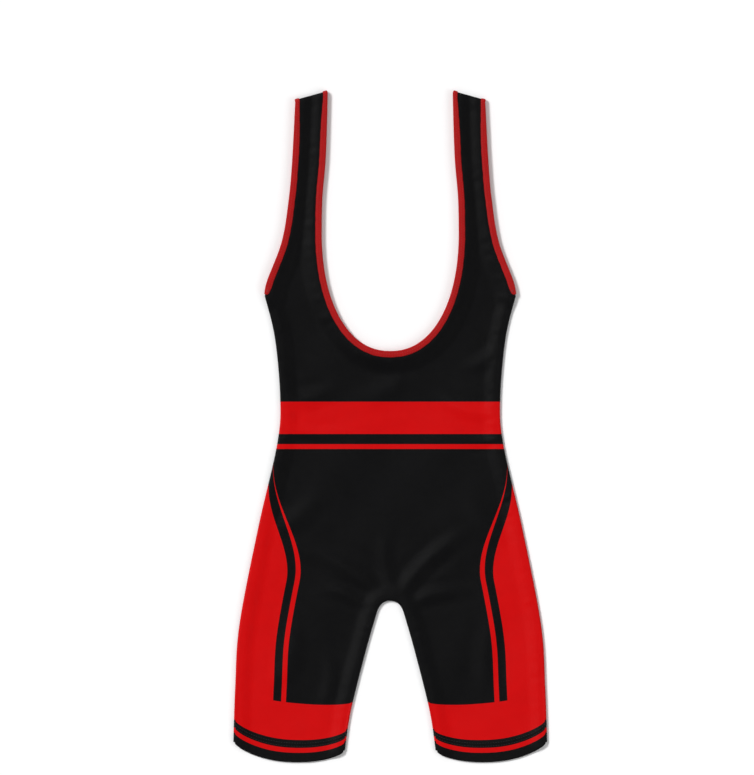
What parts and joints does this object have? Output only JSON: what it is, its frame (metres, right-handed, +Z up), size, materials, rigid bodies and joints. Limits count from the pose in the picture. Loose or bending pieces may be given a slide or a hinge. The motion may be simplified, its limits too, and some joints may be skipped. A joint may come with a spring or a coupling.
{
  "type": "wrestling singlet, laid flat",
  "caption": "Sleeveless one-piece stretch sports suit with a deep scoop neck, straps and thigh-length legs, laid flat, front up.",
  "frame": {"origin": "on the surface that the singlet lies on, under the middle of its outline", "axes": "+Z up, +Y from the hems to the straps, +X to the left side of the body as it is worn"},
  "size_m": [0.408, 0.8742, 0.0082],
  "materials": {
    "knit": "smooth stretch knit, slight sheen, black with printed red stripes",
    "binding": "folded stretch binding, dark red, slight sheen"
  },
  "bodies": {
    "root": {"front_panel": "knit", "back_panel": "knit", "neck_binding": "binding", "armhole_binding_left": "binding", "armhole_binding_right": "binding"}
  },
  "joints": []
}
